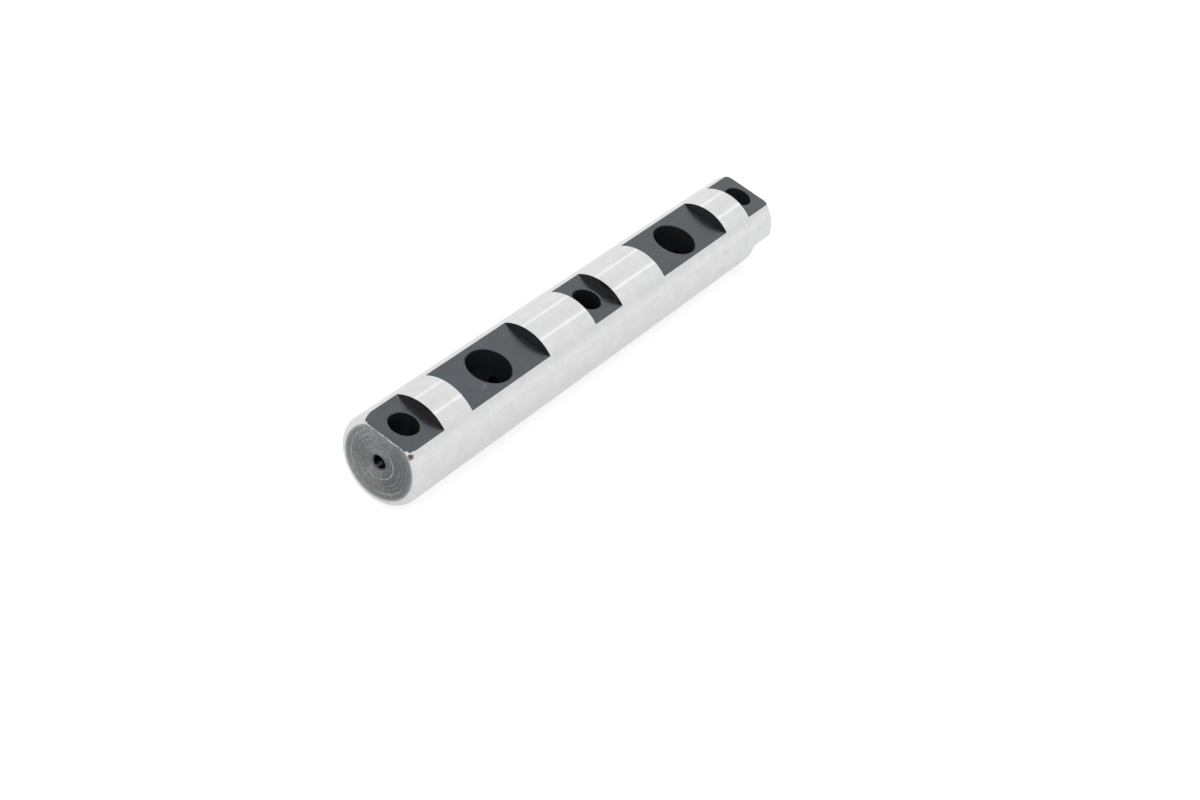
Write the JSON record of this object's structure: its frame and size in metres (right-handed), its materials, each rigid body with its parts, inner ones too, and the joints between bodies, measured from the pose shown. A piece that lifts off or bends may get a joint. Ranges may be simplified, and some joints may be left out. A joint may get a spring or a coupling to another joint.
{
  "type": "rocker shaft",
  "caption": "Solid ground steel rocker shaft with milled black seats and bolt holes along its top, round lands between them and a half lap at one end.",
  "frame": {"origin": "centre of the shaft's box: on its axis, half way along", "axes": "+X along the axis towards the half-lapped far end; +Z out of the bolt seats"},
  "size_m": [0.1352, 0.02, 0.02],
  "materials": {
    "ground_steel": "cylindrically ground bright steel, with satin black seats and grey turned ends"
  },
  "bodies": {
    "root": {"rocker_shaft": "ground_steel"}
  },
  "joints": []
}
